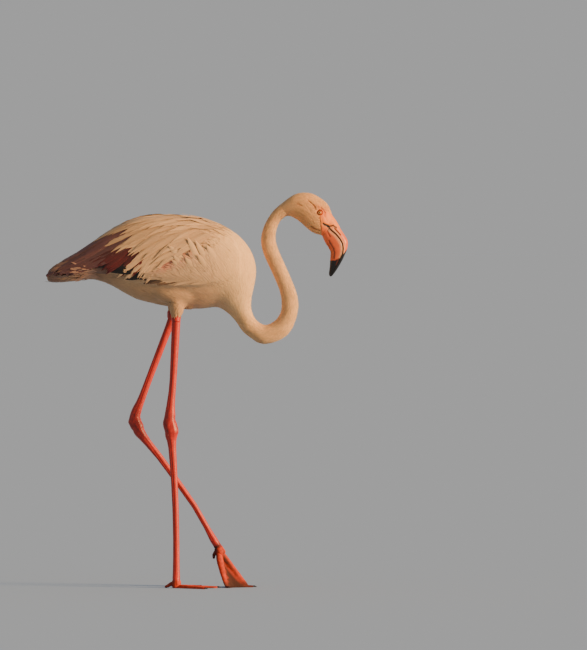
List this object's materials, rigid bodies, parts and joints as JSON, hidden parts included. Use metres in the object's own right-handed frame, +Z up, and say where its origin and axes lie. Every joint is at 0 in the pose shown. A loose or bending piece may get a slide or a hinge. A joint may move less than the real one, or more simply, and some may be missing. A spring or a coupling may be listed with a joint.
{
  "type": "greater flamingo",
  "caption": "Life-size greater flamingo, a still model in mid-stride with its neck dropped in a low S and the bill pointing down.",
  "frame": {"origin": "on the floor, under the middle of the bird's box", "axes": "+X is the way the bird faces, +Y is its left side, +Z is up"},
  "size_m": [0.6458, 0.158, 0.8503],
  "materials": {
    "plumage": "soft white feathers with a warm pink tint",
    "wing_plumage": "long white and pink feathers with crimson and black beneath",
    "tail_plumage": "greyish pink feathers",
    "neck_plumage": "short dense feathers",
    "bill_horn": "satin pink horn with a black tip",
    "eye": "glossy pale yellow",
    "leg_skin": "scaly coral red skin",
    "foot_skin": "scaly red skin with brown webs",
    "claw_horn": "dark horn"
  },
  "bodies": {
    "root": {"trunk": "plumage", "tail": "tail_plumage", "wing_left": "wing_plumage", "wing_right": "wing_plumage", "neck_lower": "neck_plumage", "neck_middle": "neck_plumage", "neck_upper": "neck_plumage", "head": "neck_plumage", "bill_upper": "bill_horn", "bill_lower": "bill_horn", "eye_left": "eye", "eye_right": "eye", "thigh_left": "plumage", "thigh_right": "plumage", "shank_left": "leg_skin", "shank_right": "leg_skin", "ankle_left": "leg_skin", "ankle_right": "leg_skin", "tarsus_left": "leg_skin", "tarsus_right": "leg_skin", "foot_left": "foot_skin", "foot_right": "foot_skin", "claw_inner_left": "claw_horn", "claw_middle_left": "claw_horn", "claw_outer_left": "claw_horn", "claw_inner_right": "claw_horn", "claw_middle_right": "claw_horn", "claw_outer_right": "claw_horn"}
  },
  "joints": []
}
